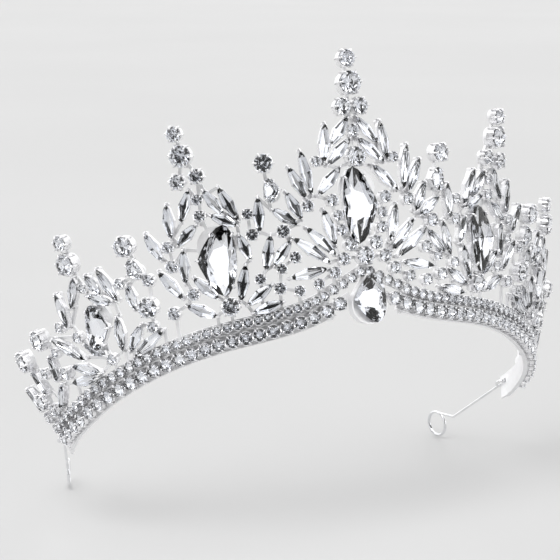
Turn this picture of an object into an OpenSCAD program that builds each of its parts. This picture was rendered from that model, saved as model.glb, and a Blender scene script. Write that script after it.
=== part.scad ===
// Bridal tiara: a low arched band with two rows of small crystals, five tall
// spires, four lower points and two end clusters set with round, leaf-shaped
// and pear-shaped crystals, a pear drop fixed under the centre, and a swinging
// wire hair loop at each end of the band.
// Millimetres, +Z up. The origin is the middle of the head opening on the
// plane the two hair loops stand on. -Y is the front.
// Positions on the wall of the tiara are written [along, height]: the distance
// along the band from the centre line and the height above the origin.

/* [Whole] */
// Backward lean of the whole tiara when it stands on its loops, degrees
lean_back = 15; // [0:1:25]

/* [Band] */
// Radius of the band across the forehead
front_radius = 85; // [70:1:100]
// Radius of the band where it turns back over the ears
side_radius = 38; // [30:1:60]
// Length along the band where the tighter turn begins
turn_start = 72; // [50:1:90]
// Front of the band, distance ahead of the origin
front_reach = 65; // [50:1:80]
// Outward flare of the wall from the temples on, degrees
flare = 10; // [0:1:20]
// Extra flare towards the band ends, degrees per mm
end_flare = 0.5; // [0:0.1:1]
// Height of the lower crystal row where the V starts to rise
band_height = 53.9; // [45:0.1:65]
// Length along the band where the strip starts, beside the drop
strip_start = 10; // [8:0.5:14]
// Length along the band where the strip ends
strip_end = 103; // [90:0.5:110]
// Thickness of the band strip
strip_thick = 0.8; // [0.6:0.1:1.5]

/* [Crystal rows] */
// Spacing of the lower row
lower_pitch = 3.7; // [3:0.05:5]
// Crystal diameter in the lower row
lower_stone = 3.2; // [2:0.1:4]
// Crystals per side in the lower row
lower_count = 25; // [10:1:30]
// Spacing of the upper row
upper_pitch = 2.75; // [2:0.05:4]
// Crystal diameter in the upper row
upper_stone = 2.3; // [1.5:0.1:3]
// Crystals per side in the upper row
upper_count = 33; // [10:1:40]
// Distance between the two rows
row_gap = 3.9; // [3:0.1:5]

/* [Settings] */
// Height of the cups above the wall
cup_top = 1.3; // [0.8:0.1:2]
// Width of the flat spine bars that join the cups
spine_width = 0.9; // [0.6:0.05:1.4]
// Depth of the spine bars
spine_depth = 0.72; // [0.5:0.02:0.8]
// Width of the leaf-shaped crystals
leaf_width = 2.9; // [2:0.1:4]
// Length left free at each end of a leaf crystal for its claw
leaf_gap = 0.6; // [0.2:0.1:1]

/* [Hair loops] */
// Radius of the loop wire
wire = 0.5; // [0.4:0.05:0.8]
// Middle radius of the big ring
ring_radius = 4; // [3:0.1:6]
// Middle radius of the small eye threaded through the band end
eye_radius = 1.7; // [1.5:0.1:2.5]
// Radius of the hole in the band end
eye_hole = 0.9; // [0.7:0.05:1.2]

/* [Hidden] */
silver = [0.86, 0.87, 0.89];
crystal = [0.93, 0.96, 1.0];
deg = 57.29578;
turn_angle = turn_start / front_radius * deg;
sweep = 48;

// centre spire, right half: rounds [along, height, diameter], leaves [from, to]
centre_line = [[0, 124, 4.6], [0, 117.2, 6.2], [0, 104.2, 3.2], [0, 97, 5.2],
  [0, 69.9, 4.8]];
centre_rounds_list = [[2.5, 110.8, 4.4], [7.7, 85.6, 3.2], [6.4, 81.4, 2.8],
  [5.8, 77.4, 3], [3.6, 73.3, 3.6], [6, 69.5, 3.4], [8.8, 66, 3.2], [11.2, 96.4, 2.8],
  [14.6, 84.6, 3.2], [13.4, 63.4, 2.9]];
centre_leaves_list = [[1.3, 107.6, 6.8, 100.4], [7.9, 106.3, 9.2, 95.9],
  [1.2, 101.9, 8.2, 95.2], [4.8, 94.3, 11.6, 87.2], [15.4, 99.5, 13.3, 87.6],
  [19, 95.4, 15, 87], [10.6, 83.3, 8, 73.4], [15.7, 78.8, 8.2, 70.9],
  [19.6, 76.4, 9.9, 69], [21.2, 65.6, 11, 67.3]];
centre_links = [[0, 124, 0, 106], [0, 112, 2.5, 110.8], [0, 106, 1.3, 107.6],
  [0, 106, 0, 92], [0, 96, 4.8, 94.3], [8.5, 95.6, 4.8, 94.3], [9.2, 95.9, 11.2, 96.4],
  [6.8, 100.4, 9, 97.5], [11.6, 87.2, 15, 87], [13.3, 87.6, 14.6, 84.6],
  [11.6, 87.2, 7.7, 85.6], [7.7, 85.6, 5.8, 77.4], [5.8, 77.4, 3.6, 73.3],
  [3.6, 73.3, 0, 69.9], [0, 75.5, 0, 69.9],
  [8, 73.4, 8.2, 70.9], [11, 67.3, 8.8, 66], [0, 69.9, 6, 69.5], [6, 69.5, 8.8, 66],
  [6, 69.5, 9.9, 69], [8, 73.4, 6, 69.5], [8.8, 66, 13.4, 63.4], [8.8, 66, 8.8, 62.2],
  [13.4, 63.4, 13.4, 59], [0, 69.9, 0, 66], [1.2, 101.9, 0, 102.4]];
// first low point
inner_rounds_list = [[25.4, 97, 5], [30.6, 83.9, 2.9], [29.9, 78.3, 3.2],
  [21.7, 78.4, 3.6], [19.2, 71.1, 3.2], [23, 68.4, 2.8], [28.8, 66.2, 2.9],
  [23.9, 63.2, 3.2], [18.8, 62, 3]];
inner_leaves_list = [[20.2, 88.8, 16.6, 81.3], [24.4, 84.6, 17.9, 80],
  [27.6, 88, 27.9, 78.8], [25.2, 77.6, 27.2, 68.4], [20.1, 75.6, 25.2, 69.3]];
inner_drop = [23.8, 89.6, 4.4, 6.2, 90];
inner_links = [[25.4, 97, 24.4, 84.6], [24.4, 84.6, 27.6, 88], [27.9, 78.8, 30.3, 78.3],
  [30.3, 78.3, 30.6, 83.9], [27.9, 78.8, 25.2, 77.6], [25.2, 77.6, 21.7, 78.4],
  [21.7, 78.4, 17.9, 80], [17.9, 80, 16.6, 81.3], [21.7, 78.4, 20.1, 75.6],
  [25.2, 69.3, 27.2, 68.4], [27.2, 68.4, 28.8, 66.2], [25.2, 69.3, 23, 68.4],
  [23, 68.4, 19.2, 71.1], [23, 68.4, 23.9, 63.2], [23.9, 63.2, 18.8, 62],
  [28.8, 66.2, 28.8, 56], [23.9, 63.2, 23.9, 57], [18.8, 62, 18.8, 57.5]];
// second spire
second_rounds_list = [[46.4, 106.8, 4.1], [45.4, 100.9, 5.8], [47, 94.2, 4.1],
  [42.3, 95.2, 4], [42.8, 89, 2.9], [42.6, 84.6, 3.1], [51.4, 77.2, 3.1],
  [51, 72, 3.3], [52, 59.4, 3.3], [46.4, 64, 3.2], [37.2, 59.7, 4.8]];
second_leaves_list = [[44.6, 91.6, 47.4, 83.4], [50.4, 88.4, 50.2, 79.6],
  [43.9, 82.2, 49, 77.2], [41.2, 91.4, 36.8, 84.8], [37.4, 91.8, 33, 82.6],
  [40.2, 84.6, 33.6, 81.4], [56.5, 81.4, 53.3, 74.2], [47.7, 76, 48, 67.2],
  [54.6, 71, 49.2, 63.4], [46, 68.4, 40.1, 62.4], [48.6, 61.2, 41, 57.6],
  [33.3, 78.6, 31, 71.8], [32.3, 70.4, 34.4, 61], [26, 64.4, 32.9, 59.6],
  [23.4, 59.6, 31.6, 57.4]];
second_pear = [39.4, 72.4, 10.6, 18, -86];
second_links = [[46.4, 106.8, 45.4, 100.9], [45.4, 100.9, 47, 94.2],
  [45.4, 100.9, 42.3, 95.2], [42.3, 95.2, 42.6, 82], [44.6, 91.6, 42.8, 89],
  [42.3, 95.2, 41.2, 91.4], [42.8, 89, 37.4, 91.8], [36.8, 84.8, 33, 82.6],
  [33, 82.6, 33.6, 81.4], [33.6, 81.4, 33.3, 78.6], [33.3, 78.6, 37, 76],
  [42.6, 84.6, 43.9, 82.2], [40.2, 84.6, 42.6, 84.6], [42.6, 84.6, 40, 76],
  [49, 77.2, 50.2, 79.6], [49, 77.2, 51.4, 77.2], [51.4, 77.2, 51, 72],
  [47.4, 83.4, 50.2, 79.6], [53.3, 74.2, 51, 72], [48, 67.2, 46.4, 64],
  [51, 72, 47.7, 76], [47.7, 76, 43, 75.2], [46.4, 64, 49.2, 63.4],
  [46.4, 64, 48.6, 61.2], [48.6, 61.2, 52, 59.4], [40.1, 62.4, 37.2, 59.7],
  [41, 57.6, 37.2, 59.7], [39, 66, 37.2, 59.7], [37.2, 59.7, 34.4, 61],
  [34.4, 61, 32.9, 59.6], [32.9, 59.6, 31.6, 57.4], [31, 71.8, 32.3, 70.4],
  [37.2, 59.7, 37.2, 54], [41, 57.6, 41, 54], [52, 59.4, 52, 51],
  [31.6, 57.4, 31.6, 54.5]];
// second low point
outer_rounds_list = [[62, 78.8, 5.3], [57.4, 69, 3.1], [58.4, 61.8, 5.2],
  [58.2, 56.4, 3], [65.2, 68.9, 2.8]];
outer_leaves_list = [[63, 68.2, 61.9, 61.8],
  [61.2, 57.2, 65.2, 50.6], [55.6, 55.2, 64.4, 49]];
outer_drop = [60.6, 72.2, 4.2, 5.8, 60];
outer_links = [[62, 78.8, 60, 71], [60, 71, 57.4, 69], [60, 71, 65.2, 68.9],
  [63, 68.2, 60, 71], [61.9, 61.8, 58.4, 61.8], [57.4, 69, 58.4, 61.8],
  [58.4, 61.8, 58.2, 55.8], [58.2, 55.8, 61.2, 57.2], [64.4, 49, 65.2, 50.6],
  [65.2, 50.6, 65.2, 45.5], [58.2, 55.8, 55.6, 55.2], [55.6, 55.2, 55.6, 50]];
// third spire
third_rounds_list = [[78.6, 81.6, 4], [78, 75.7, 5.6], [75.6, 68.6, 2.4],
  [84.2, 58.6, 2.9], [80, 55.4, 2.9], [71.2, 48.6, 2.9], [86.2, 45.8, 3.4]];
third_leaves_list = [[77.2, 71.6, 79.6, 63.8], [82.8, 67.8, 81.8, 58.8],
  [74, 72, 70.8, 66.8], [70.6, 73.4, 66.4, 64.6], [74.6, 66.6, 68.2, 64],
  [87.4, 55.6, 79.2, 49.6], [78.3, 53.4, 72.6, 50.2], [83.4, 47.6, 75.2, 45.4],
  [84.8, 43, 76.6, 43.8], [67.4, 60, 67.4, 51]];
third_pear = [73.1, 57.8, 7.2, 12, -86];
third_links = [[78.6, 81.6, 78, 75.7], [78, 75.7, 77.2, 71.6], [77.2, 71.6, 75.6, 68.6],
  [75.6, 68.6, 74, 72], [70.6, 73.4, 74, 72], [75.6, 68.6, 74.6, 66.6],
  [74.6, 66.6, 73.1, 60], [68.2, 64, 66.4, 64.6], [70.8, 66.8, 68.2, 64],
  [68.2, 64, 67.4, 60], [79.6, 63.8, 81.8, 58.8], [81.8, 58.8, 84.2, 58.6],
  [81.8, 58.8, 80, 55.4], [80, 55.4, 78.3, 53.4], [80, 55.4, 87.4, 55.6],
  [72.6, 50.2, 71.2, 48.6], [73, 54, 72.6, 50.2], [79.2, 49.6, 71.2, 48.6],
  [67.4, 51, 71.2, 48.6], [67.4, 51, 67.4, 45],
  [75.2, 45.4, 71.2, 48.6],
  [71.2, 48.6, 71.2, 43], [75.2, 45.4, 76.6, 43.8], [76.6, 43.8, 76.6, 39.5],
  [84.8, 43, 86.2, 45.8], [86.2, 45.8, 83.4, 47.6], [84.8, 43, 84.8, 36]];
// end cluster
end_rounds_list = [[90.8, 56, 5.2], [87.6, 51.8, 2.6], [98.6, 50.5, 5.4],
  [93.4, 46.2, 3], [99, 38.4, 4.2], [95.3, 35.6, 3.6], [100.6, 33.4, 3]];
end_leaves_list = [[89.6, 50.6, 89.4, 44.4], [97.8, 47, 95.8, 41],
  [88.4, 42.6, 92, 36.2], [104.1, 42.2, 101.8, 36.2]];
end_links = [[90.8, 56, 89.6, 50.6], [89.6, 50.6, 87.6, 51.8], [98.6, 50.5, 97.8, 47],
  [97.8, 47, 93.4, 46.2], [93.4, 46.2, 89.4, 44.4], [89.4, 44.4, 88.4, 42.6],
  [95.8, 41, 99, 38.4], [99, 38.4, 104.1, 42.2], [101.8, 36.2, 100.6, 33.4],
  [100.6, 33.4, 95.3, 35.6], [95.3, 35.6, 92, 36.2], [95.8, 41, 92, 36.2],
  [92, 36.2, 92, 32], [95.3, 35.6, 95.3, 30], [100.6, 33.4, 100.6, 27.5]];

// heading of the band at a length along it, degrees
function heading(s) = s < turn_start ? s / front_radius * deg
  : turn_angle + (s - turn_start) / side_radius * deg;
// plan position of the band
function plan_x(s) = s < turn_start ? front_radius * sin(heading(s))
  : front_radius * sin(turn_angle) + side_radius * (sin(heading(s)) - sin(turn_angle));
function plan_y(s) = -front_reach + (s < turn_start
  ? front_radius * (1 - cos(heading(s)))
  : front_radius * (1 - cos(turn_angle))
    + side_radius * (cos(turn_angle) - cos(heading(s))));
// height of the lower crystal row
function row_curve(s) = band_height - 0.1 * s + 10 * exp(-s / 10)
  - 0.0047 * pow(max(s - 33, 0), 2);
function row_z(s) = s < 85 ? row_curve(s) : row_curve(85) - 0.47 * (s - 85);
function row_slope(s) = (row_z(s + 0.5) - row_z(s - 0.5)) / 1;
// outward flare of the wall
function wall_flare(s) = flare * pow(min(1, s / 60), 1.5) + end_flare * max(0, s - 80);
// a point at a distance across the strip from the lower row
function across(s, o) = [s - row_slope(s) * o / sqrt(1 + pow(row_slope(s), 2)),
  row_z(s) + o / sqrt(1 + pow(row_slope(s), 2))];
function wall_out(s, z) = (z - row_z(s)) * tan(wall_flare(s));
// a point of the wall, d out from its face
function wall_point(s, z, d = 0) =
  [plan_x(s) + wall_out(s, z) * sin(heading(s)) + d * sin(heading(s)) * cos(wall_flare(s)),
   plan_y(s) - wall_out(s, z) * cos(heading(s)) - d * cos(heading(s)) * cos(wall_flare(s)),
   z - d * sin(wall_flare(s))];
// direction of travel and of up, in the wall
function wall_dir(s) = [cos(heading(s)), sin(heading(s)), 0];
function wall_up(s) = [sin(wall_flare(s)) * sin(heading(s)),
  -sin(wall_flare(s)) * cos(heading(s)), cos(wall_flare(s))];
// the lean of the whole tiara
function leaned(p) = [p[0], p[1] * cos(lean_back) + p[2] * sin(lean_back),
  -p[1] * sin(lean_back) + p[2] * cos(lean_back)];

module leaning() {
  rotate([-lean_back, 0, 0])
    children();
}
// places children on the wall, x along, y up, z outward
module on_wall(s, z, d = 0) {
  translate(wall_point(s, z, d))
    rotate([0, 0, heading(s)])
      rotate([90 + wall_flare(s), 0, 0])
        children();
}
// places children between two points of the wall, x from one to the other
module between(s1, z1, s2, z2, d = 0) {
  v = wall_point(s2, z2) - wall_point(s1, z1);
  m = (wall_point(s2, z2) + wall_point(s1, z1)) / 2;
  out = cross(wall_dir((s1 + s2) / 2), wall_up((s1 + s2) / 2));
  x = v / norm(v);
  z = (out - x * (x * out)) / norm(out - x * (x * out));
  y = cross(z, x);
  multmatrix([[x[0], y[0], z[0], m[0]], [x[1], y[1], z[1], m[1]],
    [x[2], y[2], z[2], m[2]], [0, 0, 0, 1]])
    translate([0, 0, d])
      children();
}
function span(s1, z1, s2, z2) = norm(wall_point(s2, z2) - wall_point(s1, z1));

// round crystal standing on its back
module round_stone(d) {
  r = d / 2;
  rotate_extrude($fn = 48)
    polygon([[0, 0], [0.5 * r, 0], [r, 0.5 * r], [r, 0.6 * r], [0.6 * r, 0.95 * r],
      [0, 0.95 * r]]);
}
// leaf-shaped crystal along x
module leaf_stone(l, w) {
  arc = (l * l / 4 + w * w / 4) / w;
  intersection() {
    translate([0, arc - w / 2, 0])
      bevelled_disc(arc);
    translate([0, w / 2 - arc, 0])
      bevelled_disc(arc);
  }
}
module bevelled_disc(r) {
  rotate_extrude($fn = 96)
    polygon([[0, 0], [r - 0.5, 0], [r, 0.6], [r, 0.8], [r - 0.8, 1.5], [0, 1.5]]);
}
// pear outline along x, round end towards -x, point at +x
module pear_outline(w, l) {
  r = w / 2;
  reach = l - r;
  a = acos(r / reach);
  inside = 0.995 * r;
  translate([r - l / 2, 0, 0]) {
    circle(r, $fn = 64);
    polygon([[inside * cos(a), -inside * sin(a)], [reach, 0], [inside * cos(a), inside * sin(a)]]);
  }
}
module pear_block(w, l, h) {
  linear_extrude(height = h)
    pear_outline(w, l);
}
module pear_stone(w, l) {
  k = (l - 1.6) / l;
  pear_block(w, l, 1);
  translate([0, 0, 1])
    linear_extrude(height = 0.8)
      scale(k)
        pear_outline(w, l);
  translate([0, 0, 1.8])
    linear_extrude(height = 0.5)
      scale(k * k)
        pear_outline(w, l);
}
// flat spine bar between two points, behind the crystals
module spine_bar(p) {
  between(p[0], p[1], p[2], p[3], 0.5)
    cube([span(p[0], p[1], p[2], p[3]) + 0.4, spine_width, spine_depth], center = true);
}
module cup(p) {
  on_wall(p[0], p[1], 0.1)
    cylinder(h = cup_top - 0.1, r = p[2] / 2 + 0.1, $fn = 32);
}
module claw(s, z) {
  on_wall(s, z, 0.1)
    cylinder(h = cup_top, r = 0.6, $fn = 24);
}
module frame_of(rounds, leaves, links) {
  for (p = rounds)
    cup(p);
  for (p = leaves) {
    spine_bar(p);
    claw(p[0], p[1]);
    claw(p[2], p[3]);
  }
  for (p = links)
    spine_bar(p);
}
module rounds_of(list) {
  for (p = list)
    on_wall(p[0], p[1], cup_top)
      round_stone(p[2]);
}
module leaves_of(list) {
  for (p = list)
    between(p[0], p[1], p[2], p[3], cup_top + 0.1)
      leaf_stone(span(p[0], p[1], p[2], p[3]) - 2 * leaf_gap, leaf_width);
}
// pear [along, height, width, length, turn of its point]
module pear_seat(p) {
  on_wall(p[0], p[1], 0.1)
    rotate([0, 0, p[4]])
      pear_block(p[2] + 0.3, p[3] + 0.5, cup_top - 0.1);
}
module pear_of(p) {
  on_wall(p[0], p[1], cup_top)
    rotate([0, 0, p[4]])
      pear_stone(p[2], p[3]);
}
module left_side() {
  mirror([1, 0, 0])
    children();
}

// ribbed strip swept along the band
strip_profile = [[-2.4, -strip_thick], [5.5, -strip_thick], [5.5, 0.5], [5.2, 0.5],
  [5.2, 0], [2.25, 0], [2.25, 0.8], [1.9, 0.8], [1.9, 0], [-2.1, 0], [-2.1, 0.5],
  [-2.4, 0.5]];
function strip_corner(s, p) = wall_point(across(s, p[0])[0], across(s, p[0])[1], p[1]);
module band_strip() {
  n = len(strip_profile);
  points = [for (i = [0:sweep]) for (p = strip_profile)
    strip_corner(strip_start + (strip_end - strip_start) * i / sweep, p)];
  sides = [for (i = [0:sweep - 1]) for (j = [0:n - 1]) for (t = [0, 1])
    t == 0 ? [i * n + j, i * n + (j + 1) % n, (i + 1) * n + (j + 1) % n]
      : [i * n + j, (i + 1) * n + (j + 1) % n, (i + 1) * n + j]];
  cap = [[0, 9, 10, 11], [0, 8, 9], [5, 6, 7, 8], [0, 5, 8], [0, 4, 5], [0, 1, 4],
    [1, 2, 3, 4]];
  near_cap = [for (f = cap) [for (k = [len(f) - 1:-1:0]) f[k]]];
  far_cap = [for (f = cap) [for (v = f) v + sweep * n]];
  color(silver)
    leaning()
      polyhedron(points = points, faces = concat(sides, near_cap, far_cap), convexity = 8);
}
function lower_s(i) = 8.2 + i * lower_pitch;
function upper_s(i) = strip_start + 0.6 + i * upper_pitch;
module row_cups() {
  color(silver)
    leaning() {
      for (i = [0:lower_count - 1])
        on_wall(lower_s(i), row_z(lower_s(i)), -0.4)
          cylinder(h = 1.4, r = lower_stone / 2 + 0.1, $fn = 32);
      for (i = [0:upper_count - 1])
        on_wall(across(upper_s(i), row_gap)[0], across(upper_s(i), row_gap)[1], -0.4)
          cylinder(h = 1.4, r = upper_stone / 2 + 0.05, $fn = 24);
    }
}
module lower_row() {
  color(crystal)
    leaning()
      for (i = [0:lower_count - 1])
        on_wall(lower_s(i), row_z(lower_s(i)), 1)
          round_stone(lower_stone);
}
module upper_row() {
  color(crystal)
    leaning()
      for (i = [0:upper_count - 1])
        on_wall(across(upper_s(i), row_gap)[0], across(upper_s(i), row_gap)[1], 1)
          round_stone(upper_stone);
}

// flat bar lying behind the wall face, from one wall point to another
module wall_bar(p, w) {
  between(p[0], p[1], p[2], p[3], -0.7)
    translate([-span(p[0], p[1], p[2], p[3]) / 2, -w / 2, 0])
      cube([span(p[0], p[1], p[2], p[3]), w, 0.7]);
}
arch_run = [12.4, 60.2, 0.9, 65.9];
function arch_s(i) = 9.4 - 2.7 * i;
function arch_z(i) = 61.4 + 1.38 * i;
module both_sides() {
  children();
  mirror([1, 0, 0])
    children();
}
module arch_stones() {
  color(crystal)
    leaning()
      both_sides()
        for (i = [0:3])
          on_wall(arch_s(i), arch_z(i), 1)
            round_stone(upper_stone);
}
module centre_arch() {
  color(silver)
    leaning() {
      both_sides() {
        wall_bar(arch_run, 2.8);
        for (i = [0:3])
          on_wall(arch_s(i), arch_z(i), -0.45)
            cylinder(h = 1.45, r = upper_stone / 2 + 0.05, $fn = 24);
      }
      on_wall(0, 66.2, -1)
        cylinder(h = 1.35, r = 1.85, $fn = 32);
      on_wall(0, 65, -0.6)
        cube([1.1, 2.5, 1.1], center = true);
    }
}
module drop_bars() {
  color(silver)
    leaning()
      both_sides() {
        wall_bar([11.5, row_z(11.5), 4.4, 59.4], 2.4);
        on_wall(10.6, row_z(10.6) - 2.1, -0.4)
          rotate_extrude($fn = 48)
            translate([0.9, 0])
              circle(0.28, $fn = 24);
      }
}
drop_place = [0, 58.2, 10.6, 14, 90];
module drop_cup() {
  color(silver)
    leaning()
      on_wall(drop_place[0], drop_place[1], -0.3)
        rotate([0, 0, drop_place[4]])
          difference() {
            pear_block(drop_place[2], drop_place[3], 2.8);
            translate([-0.08, 0, 1.6])
              pear_block(drop_place[2] - 0.8, drop_place[3] - 1.06, 2);
          }
}
module drop_stone() {
  color(crystal)
    leaning()
      on_wall(drop_place[0], drop_place[1], 1.3)
        rotate([0, 0, drop_place[4]])
          translate([-0.08, 0, 0])
            pear_stone(drop_place[2] - 1, drop_place[3] - 1.36);
}

// band end: a flat tab with the hole for the loop's eye
tab_s = strip_end;
tab_mid = across(tab_s, 1.55);
tab_turn = atan(row_slope(tab_s));
tab_reach = 3;
eye_up = 1.5;
tab_x = wall_dir(tab_mid[0]) * cos(tab_turn) + wall_up(tab_mid[0]) * sin(tab_turn);
tab_y = wall_up(tab_mid[0]) * cos(tab_turn) - wall_dir(tab_mid[0]) * sin(tab_turn);
tab_n = cross(tab_x, tab_y);
eye_centre = leaned(wall_point(tab_mid[0], tab_mid[1]) + tab_x * (tab_reach - 0.3)
  + tab_y * eye_up - tab_n * 0.4);
eye_axis = leaned(tab_y);
module on_tab() {
  on_wall(tab_mid[0], tab_mid[1])
    rotate([0, 0, tab_turn])
      children();
}
module end_tab() {
  color(silver)
    leaning()
      on_tab()
        difference() {
          translate([-1, -3.95, -0.8])
            cube([1 + tab_reach, 7.9, 0.8]);
          translate([tab_reach - 0.3 - eye_radius, eye_up, -1.5])
            cylinder(h = 3, r = eye_hole, $fn = 48);
        }
}
// hair loop, in the standing frame: eye, shaft, bend and big ring
loop_heading = 106;
land = 0.05;
loop_dir = [cos(loop_heading), sin(loop_heading), 0];
bend_point = [eye_centre[0], eye_centre[1], 0] + loop_dir * 22 + [0, 0, 9];
ring_centre = [eye_centre[0], eye_centre[1], 0] + loop_dir * 30
  + [0, 0, ring_radius + wire];
ring_top = ring_centre - loop_dir * 0.8 + [0, 0, ring_radius - 0.08];
shaft_way = bend_point - eye_centre;
shaft_flat = shaft_way - eye_axis * (shaft_way * eye_axis);
shaft_root = eye_centre + shaft_flat / norm(shaft_flat) * eye_radius;
module rod(p, q, r) {
  v = q - p;
  translate(p)
    rotate([0, acos(v[2] / norm(v)), atan2(v[1], v[0])])
      cylinder(h = norm(v), r = r, $fn = 32);
}
// ring of wire, flattened a little inside
module flattened_ring(r) {
  difference() {
    rotate_extrude($fn = 96)
      translate([r, 0])
        circle(wire, $fn = 32);
    cylinder(h = 4, r = r - wire + land, center = true, $fn = 96);
  }
}
module hair_loop() {
  color(silver) {
    leaning()
      on_tab()
        translate([tab_reach - 0.3, eye_up, -0.4])
          rotate([90, 0, 0])
            flattened_ring(eye_radius);
    difference() {
      union() {
        rod(shaft_root, bend_point, wire - 0.06);
        translate(bend_point)
          sphere(wire, $fn = 48);
        rod(bend_point, ring_top, wire - 0.06);
        translate(ring_top)
          sphere(wire + 0.12, $fn = 48);
        in_ring()
          flattened_ring(ring_radius);
      }
      in_ring()
        cylinder(h = 4, r = ring_radius - wire + land, center = true, $fn = 96);
    }
  }
}
module in_ring() {
  translate(ring_centre)
    rotate([0, 0, loop_heading])
      rotate([90, 0, 0])
        children();
}

module band_strip_right() {
  band_strip();
}
module band_strip_left() {
  left_side()
    band_strip();
}
module row_cups_right() {
  row_cups();
}
module row_cups_left() {
  left_side()
    row_cups();
}
module lower_row_right() {
  lower_row();
}
module lower_row_left() {
  left_side()
    lower_row();
}
module upper_row_right() {
  upper_row();
}
module upper_row_left() {
  left_side()
    upper_row();
}
module end_tab_right() {
  end_tab();
}
module end_tab_left() {
  left_side()
    end_tab();
}
module hair_loop_right() {
  hair_loop();
}
module hair_loop_left() {
  left_side()
    hair_loop();
}
module centre_frame() {
  color(silver)
    leaning() {
      for (p = centre_line)
        cup(p);
      pear_seat(centre_pear_place);
      both_sides()
        frame_of(centre_rounds_list, centre_leaves_list, centre_links);
    }
}
centre_pear_place = [0, 83.7, 10.2, 20, -90];
module centre_rounds() {
  color(crystal)
    leaning() {
      rounds_of(centre_line);
      both_sides()
        rounds_of(centre_rounds_list);
    }
}
module centre_leaves() {
  color(crystal)
    leaning()
      both_sides()
        leaves_of(centre_leaves_list);
}
module centre_pear() {
  color(crystal)
    leaning()
      pear_of(centre_pear_place);
}

module inner_frame_right() {
  color(silver)
    leaning() {
      pear_seat(inner_drop);
      frame_of(inner_rounds_list, inner_leaves_list, inner_links);
    }
}
module inner_frame_left() {
  left_side()
    inner_frame_right();
}
module inner_rounds_right() {
  color(crystal)
    leaning() {
      pear_of(inner_drop);
      rounds_of(inner_rounds_list);
    }
}
module inner_rounds_left() {
  left_side()
    inner_rounds_right();
}
module inner_leaves_right() {
  color(crystal)
    leaning()
      leaves_of(inner_leaves_list);
}
module inner_leaves_left() {
  left_side()
    inner_leaves_right();
}

module second_frame_right() {
  color(silver)
    leaning() {
      pear_seat(second_pear);
      frame_of(second_rounds_list, second_leaves_list, second_links);
    }
}
module second_frame_left() {
  left_side()
    second_frame_right();
}
module second_rounds_right() {
  color(crystal)
    leaning() {
      rounds_of(second_rounds_list);
    }
}
module second_rounds_left() {
  left_side()
    second_rounds_right();
}
module second_leaves_right() {
  color(crystal)
    leaning()
      leaves_of(second_leaves_list);
}
module second_leaves_left() {
  left_side()
    second_leaves_right();
}
module second_pear_right() {
  color(crystal)
    leaning()
      pear_of(second_pear);
}
module second_pear_left() {
  left_side()
    second_pear_right();
}

module outer_frame_right() {
  color(silver)
    leaning() {
      pear_seat(outer_drop);
      frame_of(outer_rounds_list, outer_leaves_list, outer_links);
    }
}
module outer_frame_left() {
  left_side()
    outer_frame_right();
}
module outer_rounds_right() {
  color(crystal)
    leaning() {
      pear_of(outer_drop);
      rounds_of(outer_rounds_list);
    }
}
module outer_rounds_left() {
  left_side()
    outer_rounds_right();
}
module outer_leaves_right() {
  color(crystal)
    leaning()
      leaves_of(outer_leaves_list);
}
module outer_leaves_left() {
  left_side()
    outer_leaves_right();
}

module third_frame_right() {
  color(silver)
    leaning() {
      pear_seat(third_pear);
      frame_of(third_rounds_list, third_leaves_list, third_links);
    }
}
module third_frame_left() {
  left_side()
    third_frame_right();
}
module third_rounds_right() {
  color(crystal)
    leaning() {
      rounds_of(third_rounds_list);
    }
}
module third_rounds_left() {
  left_side()
    third_rounds_right();
}
module third_leaves_right() {
  color(crystal)
    leaning()
      leaves_of(third_leaves_list);
}
module third_leaves_left() {
  left_side()
    third_leaves_right();
}
module third_pear_right() {
  color(crystal)
    leaning()
      pear_of(third_pear);
}
module third_pear_left() {
  left_side()
    third_pear_right();
}

module end_frame_right() {
  color(silver)
    leaning() {
      frame_of(end_rounds_list, end_leaves_list, end_links);
    }
}
module end_frame_left() {
  left_side()
    end_frame_right();
}
module end_rounds_right() {
  color(crystal)
    leaning() {
      rounds_of(end_rounds_list);
    }
}
module end_rounds_left() {
  left_side()
    end_rounds_right();
}
module end_leaves_right() {
  color(crystal)
    leaning()
      leaves_of(end_leaves_list);
}
module end_leaves_left() {
  left_side()
    end_leaves_right();
}

band_strip_left();
band_strip_right();
row_cups_left();
row_cups_right();
lower_row_left();
lower_row_right();
upper_row_left();
upper_row_right();
centre_arch();
arch_stones();
drop_bars();
drop_cup();
drop_stone();
end_tab_left();
end_tab_right();
hair_loop_left();
hair_loop_right();
centre_frame();
centre_rounds();
centre_leaves();
centre_pear();
inner_frame_left();
inner_frame_right();
inner_rounds_left();
inner_rounds_right();
inner_leaves_left();
inner_leaves_right();
second_frame_left();
second_frame_right();
second_rounds_left();
second_rounds_right();
second_leaves_left();
second_leaves_right();
second_pear_left();
second_pear_right();
outer_frame_left();
outer_frame_right();
outer_rounds_left();
outer_rounds_right();
outer_leaves_left();
outer_leaves_right();
third_frame_left();
third_frame_right();
third_rounds_left();
third_rounds_right();
third_leaves_left();
third_leaves_right();
third_pear_left();
third_pear_right();
end_frame_left();
end_frame_right();
end_rounds_left();
end_rounds_right();
end_leaves_left();
end_leaves_right();
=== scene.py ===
import math

import bmesh
import bpy
import numpy as np
from mathutils import Matrix, Vector


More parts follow.
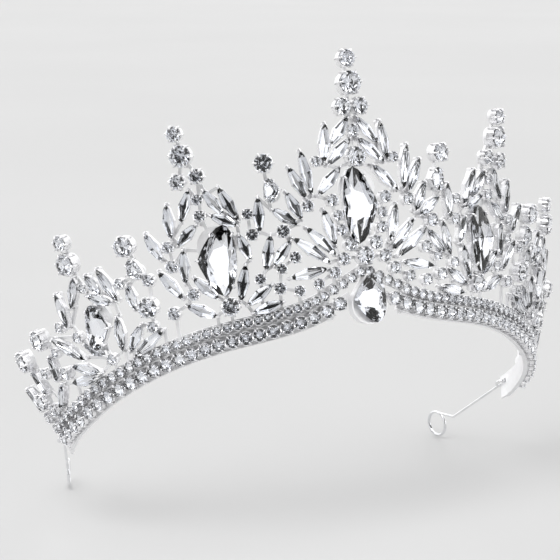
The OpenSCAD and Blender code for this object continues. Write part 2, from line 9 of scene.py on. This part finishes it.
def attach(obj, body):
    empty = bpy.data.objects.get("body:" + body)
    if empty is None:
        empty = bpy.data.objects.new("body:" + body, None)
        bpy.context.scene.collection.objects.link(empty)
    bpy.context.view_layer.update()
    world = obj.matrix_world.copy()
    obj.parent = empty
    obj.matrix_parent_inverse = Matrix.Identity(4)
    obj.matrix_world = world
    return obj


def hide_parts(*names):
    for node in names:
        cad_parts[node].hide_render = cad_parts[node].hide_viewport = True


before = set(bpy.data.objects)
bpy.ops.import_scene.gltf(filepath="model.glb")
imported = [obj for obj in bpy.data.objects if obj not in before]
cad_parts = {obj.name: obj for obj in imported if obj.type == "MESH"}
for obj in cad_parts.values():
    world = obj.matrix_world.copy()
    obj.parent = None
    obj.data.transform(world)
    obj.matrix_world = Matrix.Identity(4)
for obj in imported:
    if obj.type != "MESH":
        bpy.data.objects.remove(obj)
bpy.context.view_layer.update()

MM = 0.001
CROWN = "crown"
SIDES = ("left", "right")
GROUPS = ("inner", "second", "outer", "third", "end")
# A point inside the head opening: every crystal faces away from it
HEAD_MIDDLE = Vector((0, 0.005, 0.05))

# Prong radii in millimetres
LOWER_ROW_CLAW = 0.26
UPPER_ROW_CLAW = 0.2
SMALL_ROUND_CLAW = 0.24
LARGE_ROUND_CLAW = 0.3
LEAF_CLAW = 0.28
SMALL_PEAR_CLAW = 0.3
LARGE_PEAR_CLAW = 0.38

# Height of the girdle, the widest edge, as a share of the crystal's height
ROUND_GIRDLE = 0.74
LEAF_GIRDLE = 0.68
PEAR_GIRDLE = 0.68

# Rounds wider than this, in millimetres, have six prongs
LARGE_ROUND = 3.9
# Crystals longer than wide by more than this, in millimetres, are pears
PEAR_STRETCH = 0.35
# The crystals of the two rows and the arch, against their CAD blocks
ROW_WIDENING = 1.12

# Dark flags round the studio: direction, and the cosines where each starts and is full
FLAGS = (
    ((-0.38, -0.88, 0.28), 0.86, 0.93),
    ((0.75, -0.35, 0.55), 0.95, 0.98),
    ((-0.95, 0.1, 0.3), 0.95, 0.98),
    ((0.1, 0.2, 0.97), 0.94, 0.97),
)
FLAG_LEVEL = 0.02
STUDIO_STRENGTH = 1.3
FLOOR_HALF = 8.0
FLOOR_DEPTH = -0.0004
CAMERA_PLACE = Vector((-0.1791, -0.4312, 0.1783))
CAMERA_TARGET = Vector((-0.0061, 0, 0.0683))


# ---------------------------------------------------------------- camera
def make_camera():
    data = bpy.data.cameras.new("camera")
    data.lens = 102.3
    data.sensor_width = 36
    data.clip_start = 0.01
    data.clip_end = 50
    camera = bpy.data.objects.new("camera", data)
    camera.location = CAMERA_PLACE
    camera.rotation_euler = (CAMERA_TARGET - CAMERA_PLACE).to_track_quat("-Z", "Y").to_euler()
    bpy.context.scene.collection.objects.link(camera)
    bpy.context.scene.camera = camera


# ------------------------------------------------------------- materials
def new_material(name):
    material = bpy.data.materials.new(name)
    material.use_nodes = True
    tree = material.node_tree
    return material, tree, tree.nodes["Principled BSDF"]


def noise(tree, scale, detail=3.0):
    """A noise texture fixed to the object, scale in waves per metre."""
    place = tree.nodes.new("ShaderNodeTexCoord")
    texture = tree.nodes.new("ShaderNodeTexNoise")
    texture.inputs["Scale"].default_value = scale
    texture.inputs["Detail"].default_value = detail
    tree.links.new(place.outputs["Object"], texture.inputs["Vector"])
    return texture.outputs["Fac"]


def spread(tree, value, low, high):
    """Maps a noise value to a range."""
    node = tree.nodes.new("ShaderNodeMapRange")
    node.inputs["From Min"].default_value = 0.3
    node.inputs["From Max"].default_value = 0.7
    node.inputs["To Min"].default_value = low
    node.inputs["To Max"].default_value = high
    tree.links.new(value, node.inputs["Value"])
    return node.outputs["Result"]


def two_tones(tree, value, dark, light):
    ramp = tree.nodes.new("ShaderNodeValToRGB")
    ramp.color_ramp.elements[0].position = 0.35
    ramp.color_ramp.elements[0].color = (*dark, 1)
    ramp.color_ramp.elements[1].position = 0.65
    ramp.color_ramp.elements[1].color = (*light, 1)
    tree.links.new(value, ramp.inputs["Fac"])
    return ramp.outputs["Color"]


def bump(tree, shader, value, distance, strength):
    node = tree.nodes.new("ShaderNodeBump")
    node.inputs["Distance"].default_value = distance
    node.inputs["Strength"].default_value = strength
    tree.links.new(value, node.inputs["Height"])
    tree.links.new(node.outputs["Normal"], shader.inputs["Normal"])


def metal(name, dark, light, smooth, rough, grain, relief, metallic=1.0):
    """Bright plated metal: mottled tone, polish that varies, and a fine cast grain.
    Below 1, metallic makes it paler than real plating, as on the band and the frames."""
    material, tree, shader = new_material(name)
    shader.inputs["Metallic"].default_value = metallic
    mottle = noise(tree, 260)
    tree.links.new(two_tones(tree, mottle, dark, light), shader.inputs["Base Color"])
    tree.links.new(spread(tree, noise(tree, 900), smooth, rough), shader.inputs["Roughness"])
    bump(tree, shader, noise(tree, grain, 5), relief, 0.5)
    return material


def crystal_glass():
    """Clear cut glass with faint polishing haze."""
    material, tree, shader = new_material("crystal_glass")
    shader.inputs["IOR"].default_value = 1.56
    shader.inputs["Transmission Weight"].default_value = 1
    tone = two_tones(tree, noise(tree, 420), (0.97, 0.98, 1), (1, 1, 1))
    tree.links.new(tone, shader.inputs["Base Color"])
    tree.links.new(spread(tree, noise(tree, 700), 0.0, 0.02), shader.inputs["Roughness"])
    return material


SILVER = metal("silver_plate", (0.93, 0.93, 0.94), (0.98, 0.98, 0.99), 0.42, 0.58, 3200, 0.00002, 0.7)
CUPS = metal("silver_cups", (0.88, 0.88, 0.90), (0.97, 0.97, 0.98), 0.20, 0.34, 4500, 0.000015)
WIRE = metal("silver_wire", (0.82, 0.83, 0.85), (0.93, 0.93, 0.94), 0.10, 0.18, 2200, 0.00001)
FOIL = metal("mirror_foil", (0.88, 0.89, 0.92), (0.96, 0.97, 0.99), 0.02, 0.06, 1500, 0.000004)
GLASS = crystal_glass()


# ---------------------------------------------------------- mesh helpers
class Shape:
    """Collects closed parts of one piece, then makes its object."""

    def __init__(self, name, materials, slot):
        self.name = name
        self.materials = materials
        self.slot = slot
        self.points = []
        self.faces = []
        self.face_material = []
        self.face_smooth = []

    def add(self, place, points, faces, material=0, smooth=False):
        """place is a matrix from local millimetres to the row frame in metres."""
        first = len(self.points)
        self.points += [place @ Vector(p) for p in points]
        for face in faces:
            self.faces.append([first + i for i in face])
            self.face_material.append(material)
            self.face_smooth.append(smooth)

    def build(self, body=CROWN, replaces=()):
        mesh = bpy.data.meshes.new(self.name)
        mesh.from_pydata([tuple(p) for p in self.points], [], self.faces)
        for material in self.materials:
            mesh.materials.append(material)
        mesh.polygons.foreach_set("material_index", self.face_material)
        mesh.polygons.foreach_set("use_smooth", self.face_smooth)
        work = bmesh.new()
        work.from_mesh(mesh)
        bmesh.ops.recalc_face_normals(work, faces=work.faces)
        work.to_mesh(mesh)
        work.free()
        piece = bpy.data.objects.new(self.name, mesh)
        bpy.context.scene.collection.objects.link(piece)
        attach(piece, body)
        if replaces:
            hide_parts(*replaces)
        return piece


def ring_faces(first, second, count):
    """Quads between two closed rings of points."""
    return [
        (first + i, first + (i + 1) % count, second + (i + 1) % count, second + i)
        for i in range(count)
    ]


def add_tube(shape, place, path, radii, sides=6, material=0):
    """A round bar along a path, closed at both ends."""
    path = [Vector(p) for p in path]
    points, faces = [], []
    side = (path[1] - path[0]).orthogonal().normalized()
    for i, centre in enumerate(path):
        ahead = path[min(i + 1, len(path) - 1)] - path[max(i - 1, 0)]
        ahead.normalize()
        side = (side - ahead * side.dot(ahead)).normalized()
        up = ahead.cross(side)
        for k in range(sides):
            a = 2 * math.pi * k / sides
            points.append(centre + radii[i] * (math.cos(a) * side + math.sin(a) * up))
        if i:
            faces += ring_faces((i - 1) * sides, i * sides, sides)
    faces.append(list(range(sides))[::-1])
    faces.append([(len(path) - 1) * sides + k for k in range(sides)])
    shape.add(place, points, faces, material, True)


def add_ball(shape, place, centre, radius, material=0):
    """A small smooth ball."""
    rings, sides = 4, 8
    points = [(centre[0], centre[1], centre[2] - radius)]
    for i in range(1, rings):
        a = math.pi * i / rings
        for k in range(sides):
            b = 2 * math.pi * k / sides
            points.append((
                centre[0] + radius * math.sin(a) * math.cos(b),
                centre[1] + radius * math.sin(a) * math.sin(b),
                centre[2] - radius * math.cos(a),
            ))
    points.append((centre[0], centre[1], centre[2] + radius))
    last = len(points) - 1
    faces = [(0, 1 + (k + 1) % sides, 1 + k) for k in range(sides)]
    for i in range(rings - 2):
        faces += ring_faces(1 + i * sides, 1 + (i + 1) * sides, sides)
    top = 1 + (rings - 2) * sides
    faces += [(last, top + k, top + (k + 1) % sides) for k in range(sides)]
    shape.add(place, points, faces, material, True)


# ------------------------------------------- crystals found in the frame
def solids_of(node):
    """The separate solids of a CAD node, each as its points and its faces' normals and areas."""
    work = bmesh.new()
    work.from_mesh(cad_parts[node].data)
    bmesh.ops.remove_doubles(work, verts=work.verts, dist=1e-7)
    seen, found = set(), []
    for start in work.verts:
        if start in seen:
            continue
        group = [start]
        seen.add(start)
        for v in group:
            for edge in v.link_edges:
                other = edge.other_vert(v)
                if other not in seen:
                    seen.add(other)
                    group.append(other)
        faces = {f for v in group for f in v.link_faces}
        flat = {}
        for f in sorted(faces, key=lambda f: f.index):
            key = tuple(round(c, 2) for c in f.normal)
            flat[key] = flat.get(key, 0) + f.calc_area()
        normal = Vector(max(flat, key=lambda k: flat[k])).normalized()
        found.append((np.array([v.co for v in group]), normal))
    work.free()
    return found


class Seat:
    """Where a crystal sits: axes along, across and outward, and its size in millimetres."""

    def __init__(self, points, normal, is_round=False):
        middle = Vector(points.mean(0))
        out = normal if normal.dot(middle - HEAD_MIDDLE) > 0 else -normal
        if is_round:
            along = Vector((0, 0, 1)) - out * out.z
        else:
            flat = points - np.array(middle)
            flat = flat - np.outer(flat @ np.array(out), np.array(out))
            along = Vector(np.linalg.svd(flat, full_matrices=False)[2][0])
        along.normalize()
        across = out.cross(along)
        axes = np.array([along, across, out])
        local = points @ axes.T
        low, high = local.min(0), local.max(0)
        size = (high - low) / MM
        reach = np.abs(local[:, 1] - (low + high)[1] / 2)
        if not is_round and local[reach > 0.9 * reach.max(), 0].mean() > (low + high)[0] / 2:
            along, across = -along, -across  # a pear is widest away from its point
        origin = Vector(axes.T @ np.array([*((low + high) / 2)[:2], low[2]]))
        self.length, self.width, self.height = size
        self.place = Matrix.Translation(origin) @ Matrix((along, across, out)).transposed().to_4x4()
        self.place = self.place @ Matrix.Scale(MM, 4)

    def grow(self, longer=0.0, wider=1.0, higher=1.0):
        """Makes the crystal larger than its plain CAD block: longer in millimetres, the rest as factors."""
        self.length += longer
        self.width *= wider
        self.height *= higher


def seats(node, is_round=False):
    """One seat for each separate crystal of a node."""
    return [Seat(points, normal, is_round) for points, normal in solids_of(node)]


# ---------------------------------------------------------------- shapes
def round_outline(seat, count=16, turn=0.0):
    r = seat.width / 2
    angles = [turn + 2 * math.pi * k / count for k in range(count)]
    return [Vector((r * math.cos(a), r * math.sin(a))) for a in angles], (0, 0)


def leaf_outline(seat, count=8):
    """A pointed oval, its points at the first and the middle index."""
    outline = []
    for k in range(count):
        a = 2 * math.pi * k / count
        x = math.cos(a)
        y = math.copysign(1 - abs(x) ** 2.2, math.sin(a)) if k % (count // 2) else 0
        outline.append(Vector((seat.length / 2 * x, seat.width / 2 * y)))
    return outline, (-0.3 * seat.length, 0.3 * seat.length)


def pear_outline(seat, count=20):
    """A teardrop, its point at index 0."""
    outline = []
    for k in range(count):
        a = 2 * math.pi * k / count
        y = math.sin(a) * math.sin(a / 2) / 0.77
        outline.append(Vector((seat.length / 2 * math.cos(a), seat.width / 2 * y)))
    return outline, (-0.2 * seat.length, 0.12 * seat.length)


def inward(point, spine):
    """The nearest place on the crystal's middle line."""
    return Vector((min(max(point.x, spine[0]), spine[1]), 0))


def add_gem(shape, seat, outline, spine, girdle, table, middle=0.80, culet=0.03, tilt=0):
    """A cut crystal: brilliant crown in glass over a pavilion with mirror foil behind it.
    girdle is a share of its height; table, middle and culet are shares of its half width.
    tilt is the slope of the flat at the back, which rises away from the crystal's tip."""
    h = seat.height
    n = len(outline)
    half = n // 2
    low_edge, high_edge = girdle * h - 0.02 * h, girdle * h + 0.03 * h
    step = h - high_edge
    even, odd = range(0, n, 2), range(1, n, 2)
    centres = [inward(p, spine) for p in outline]

    def at(i, share, z):
        p = centres[i] + share * (outline[i] - centres[i])
        return (p.x, p.y, z)

    points = [at(i, table, h) for i in even]
    points += [at(i, middle, high_edge + 0.52 * step) for i in odd]
    points += [at(i, 1, high_edge) for i in range(n)]
    tables, mids, top = 0, half, n
    crown = [[tables + k for k in range(half)]]
    for k in range(half):
        after = (k + 1) % half
        before = (k - 1) % half
        crown.append((tables + k, mids + k, tables + after))
        crown.append((tables + k, mids + before, top + 2 * k, mids + k))
        crown.append((mids + k, top + 2 * k, top + 2 * k + 1))
        crown.append((mids + k, top + 2 * k + 1, top + (2 * k + 2) % n))
    low = len(points)
    points += [at(i, 1, low_edge) for i in range(n)]
    crown += ring_faces(top, low, n)
    inner = len(points)
    points += [at(i, 0.5 + culet / 2, low_edge * 0.47 + 0.02 * h) for i in odd]
    keel = len(points)
    ends = [at(i, culet, 0.04 * h) for i in even]
    points += [(x, y, z + tilt * (ends[0][0] - x)) for x, y, z in ends]
    back = [[keel + k for k in range(half)]]
    for k in range(half):
        after = (k + 1) % half
        before = (k - 1) % half
        back.append((low + 2 * k, inner + before, keel + k, inner + k))
        back.append((inner + k, keel + k, keel + after))
        back.append((low + 2 * k, low + 2 * k + 1, inner + k))
        back.append((low + 2 * k + 1, low + (2 * k + 2) % n, inner + k))
    first = len(shape.points)
    shape.points += [seat.place @ Vector(p) for p in points]
    for faces, material in ((crown, 0), (back, 1)):
        for face in faces:
            shape.faces.append([first + i for i in face])
            shape.face_material.append(material)
            shape.face_smooth.append(False)


def add_wall(shape, seat, outline, spine, low, high, scallop, gap=0.02, thick=0.14):
    """A thin metal wall round a crystal's lower half, with a scalloped rim."""
    n = len(outline)
    points = []
    for distance, level in ((gap, 0), (gap, 1), (gap + thick, 1), (gap + thick, 0)):
        for i, p in enumerate(outline):
            way = (p - inward(p, spine)).normalized()
            z = low if level == 0 else high - (scallop if i % 2 else 0)
            points.append((p.x + way.x * distance, p.y + way.y * distance, z))
    faces = []
    for k in range(4):
        faces += ring_faces(k * n, ((k + 1) % 4) * n, n)
    shape.add(seat.place, points, faces)


def add_claw(shape, seat, point, spine, radius, reach, girdle, foot=-0.2):
    """A prong that rises outside the wall and folds over the crystal's edge, with a round tip."""
    way = (point - inward(point, spine)).normalized()
    edge = girdle * seat.height
    over = seat.height - edge

    def at(distance, z):
        return (point.x + way.x * distance, point.y + way.y * distance, z)

    path = [at(radius, foot), at(radius * 1.05, edge * 0.8), at(radius * 0.75, edge + 0.35 * over),
            at(-reach * 0.55, edge + 0.35 * over + 0.75 * radius + reach * 0.3)]
    add_tube(shape, seat.place, path, [radius, radius, radius * 0.95, radius * 0.8])
    add_ball(shape, seat.place, path[-1], radius * 1.08)


# ---------------------------------------------------------------- pieces
def place_round(gems, metalwork, seat, claws, turn, claw_size, wider=1.0):
    """A round crystal in its scalloped wall, with its prongs."""
    girdle = ROUND_GIRDLE
    seat.grow(wider=wider, higher=1.3)
    outline, spine = round_outline(seat, 16, turn)
    add_gem(gems, seat, outline, spine, girdle=girdle, table=0.6)
    fine, _ = round_outline(seat, 24)
    add_wall(metalwork, seat, fine, spine, -0.05, (girdle - 0.05) * seat.height, 0.12 * seat.height)
    r = seat.width / 2
    for k in range(claws):
        a = 2 * math.pi * (k + 0.5) / claws
        point = Vector((r * math.cos(a), r * math.sin(a)))
        add_claw(metalwork, seat, point, spine, claw_size, reach=0.28 * r, girdle=girdle)


def round_row(node, claw_size):
    """A row of small round crystals, four prongs each, turned a little from one to the next."""
    gems = Shape(node + "_crystals", (GLASS, FOIL), "crystal")
    claws = Shape(node + "_claws", (CUPS,), "silver_plate")
    for i, seat in enumerate(seats(node, True)):
        place_round(gems, claws, seat, 4, 0.4 * (i % 5), claw_size, ROW_WIDENING)
    gems.build(replaces=[node])
    claws.build()


def spire_rounds(node):
    """The rounds of a spire, six prongs on the large and four on the small, with its small pears."""
    gems = Shape(node + "_crystals", (GLASS, FOIL), "crystal")
    claws = Shape(node + "_claws", (CUPS,), "silver_plate")
    for i, (points, normal) in enumerate(solids_of(node)):
        seat = Seat(points, normal, True)
        if abs(seat.length - seat.width) > PEAR_STRETCH:
            place_pear(gems, claws, Seat(points, normal), SMALL_PEAR_CLAW)
        elif seat.width > LARGE_ROUND:
            place_round(gems, claws, seat, 6, 0.7 * i, LARGE_ROUND_CLAW)
        else:
            place_round(gems, claws, seat, 4, 0.7 * i, SMALL_ROUND_CLAW)
    gems.build(replaces=[node])
    claws.build()


def place_leaf(gems, metalwork, seat):
    """A leaf-shaped crystal in a low wall, with a prong over each point."""
    girdle = LEAF_GIRDLE
    seat.grow(longer=1.8, wider=1.12, higher=1.25)
    outline, spine = leaf_outline(seat)
    add_gem(gems, seat, outline, spine, girdle=girdle, table=0.45, middle=0.74, culet=0.28)
    add_wall(metalwork, seat, outline, spine, -0.4, (girdle - 0.12) * seat.height, 0.1, thick=0.07)
    for i in (0, len(outline) // 2):
        add_claw(metalwork, seat, outline[i], spine, LEAF_CLAW, reach=0.7, girdle=girdle, foot=-0.6)


def leaf_set(node):
    """All the leaf-shaped crystals of a group."""
    gems = Shape(node + "_crystals", (GLASS, FOIL), "crystal")
    claws = Shape(node + "_claws", (CUPS,), "silver_plate")
    for seat in seats(node):
        place_leaf(gems, claws, seat)
    gems.build(replaces=[node])
    claws.build()


def place_pear(gems, metalwork, seat, claw_size, walled=True):
    """A pear crystal. A walled one gets its wall, five prongs and a tilted flat at the back."""
    girdle = PEAR_GIRDLE
    seat.grow(wider=1.06, higher=1.2 if walled else 1.1)
    outline, spine = pear_outline(seat)
    add_gem(gems, seat, outline, spine, girdle=girdle, table=0.5, middle=0.77, culet=0.4,
            tilt=0.14 if walled else 0)
    if not walled:
        return
    add_wall(metalwork, seat, outline, spine, -0.05, (girdle - 0.08) * seat.height, 0.2)
    for i in (0, 4, 8, 12, 16):
        add_claw(metalwork, seat, outline[i], spine, claw_size, reach=0.5, girdle=girdle)


def large_pear(node, walled=True):
    """A large pear. The drop is unwalled, because its CAD cup stays."""
    gems = Shape(node + "_crystals", (GLASS, FOIL), "crystal")
    claws = Shape(node + "_claws", (CUPS,), "silver_plate")
    for seat in seats(node):
        place_pear(gems, claws, seat, LARGE_PEAR_CLAW, walled)
    gems.build(replaces=[node])
    if walled:
        claws.build()


def paint(node, material):
    """Gives a CAD node that stays visible its material."""
    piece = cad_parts[node]
    piece.data.materials.clear()
    piece.data.materials.append(material)


def paint_metal():
    names = ["drop_bars", "drop_cup", "centre_arch", "centre_frame"]
    for side in SIDES:
        names += [part + side for part in ("band_strip_", "row_cups_", "end_tab_")]
        names += [f"{group}_frame_{side}" for group in GROUPS]
        paint(f"hair_loop_{side}", WIRE)
    for name in names:
        paint(name, SILVER)


def set_crystals():
    for side in SIDES:
        round_row(f"lower_row_{side}", LOWER_ROW_CLAW)
        round_row(f"upper_row_{side}", UPPER_ROW_CLAW)
        for group in GROUPS:
            spire_rounds(f"{group}_rounds_{side}")
            leaf_set(f"{group}_leaves_{side}")
        large_pear(f"second_pear_{side}")
        large_pear(f"third_pear_{side}")
    round_row("arch_stones", UPPER_ROW_CLAW)
    spire_rounds("centre_rounds")
    leaf_set("centre_leaves")
    large_pear("centre_pear")
    large_pear("drop_stone", False)


# ---------------------------------------------------------- studio light
def make_floor():
    """The pale stage floor, just under the hair loops at rest."""
    mesh = bpy.data.meshes.new("floor")
    corners = [(-1, -1), (1, -1), (1, 1), (-1, 1)]
    points = [(FLOOR_HALF * x, FLOOR_HALF * y, FLOOR_DEPTH) for x, y in corners]
    mesh.from_pydata(points, [], [(0, 1, 2, 3)])
    floor = bpy.data.objects.new("floor", mesh)
    bpy.context.scene.collection.objects.link(floor)
    material, tree, shader = new_material("pale_floor")
    tone = two_tones(tree, noise(tree, 3), (0.61, 0.61, 0.61), (0.63, 0.63, 0.63))
    tree.links.new(tone, shader.inputs["Base Color"])
    shader.inputs["Roughness"].default_value = 0.32
    shader.inputs["Specular IOR Level"].default_value = 0.08
    mesh.materials.append(material)


def soft_box(name, place, target, size, power):
    """A round area light aimed at a point."""
    data = bpy.data.lights.new(name, "AREA")
    data.shape = "DISK"
    data.size = size
    data.energy = power
    light = bpy.data.objects.new(name, data)
    light.location = place
    light.rotation_euler = (Vector(target) - Vector(place)).to_track_quat("-Z", "Y").to_euler()
    bpy.context.scene.collection.objects.link(light)


def make_studio():
    """A white studio with dark flags: in front, where the photographer stands, and a few narrow ones."""
    world = bpy.data.worlds.new("studio")
    bpy.context.scene.world = world
    world.use_nodes = True
    tree = world.node_tree
    background = tree.nodes["Background"]
    way = tree.nodes.new("ShaderNodeTexCoord").outputs["Generated"]
    light = None
    for direction, start, full in FLAGS:
        dot = tree.nodes.new("ShaderNodeVectorMath")
        dot.operation = "DOT_PRODUCT"
        dot.inputs[1].default_value = Vector(direction).normalized()
        tree.links.new(way, dot.inputs[0])
        ramp = tree.nodes.new("ShaderNodeMapRange")
        ramp.inputs["From Min"].default_value = start
        ramp.inputs["From Max"].default_value = full
        ramp.inputs["To Min"].default_value = 1
        ramp.inputs["To Max"].default_value = FLAG_LEVEL
        tree.links.new(dot.outputs["Value"], ramp.inputs["Value"])
        if light is None:
            light = ramp.outputs["Result"]
        else:
            both = tree.nodes.new("ShaderNodeMath")
            both.operation = "MULTIPLY"
            tree.links.new(light, both.inputs[0])
            tree.links.new(ramp.outputs["Result"], both.inputs[1])
            light = both.outputs["Value"]
    tree.links.new(light, background.inputs["Color"])
    background.inputs["Strength"].default_value = STUDIO_STRENGTH
    bpy.context.scene.view_settings.view_transform = "Standard"
    soft_box("front_box", (-0.45, -0.35, 0.8), (-0.1, -0.12, 0), 0.4, 2.2)


make_camera()
paint_metal()
set_crystals()
make_floor()
make_studio()
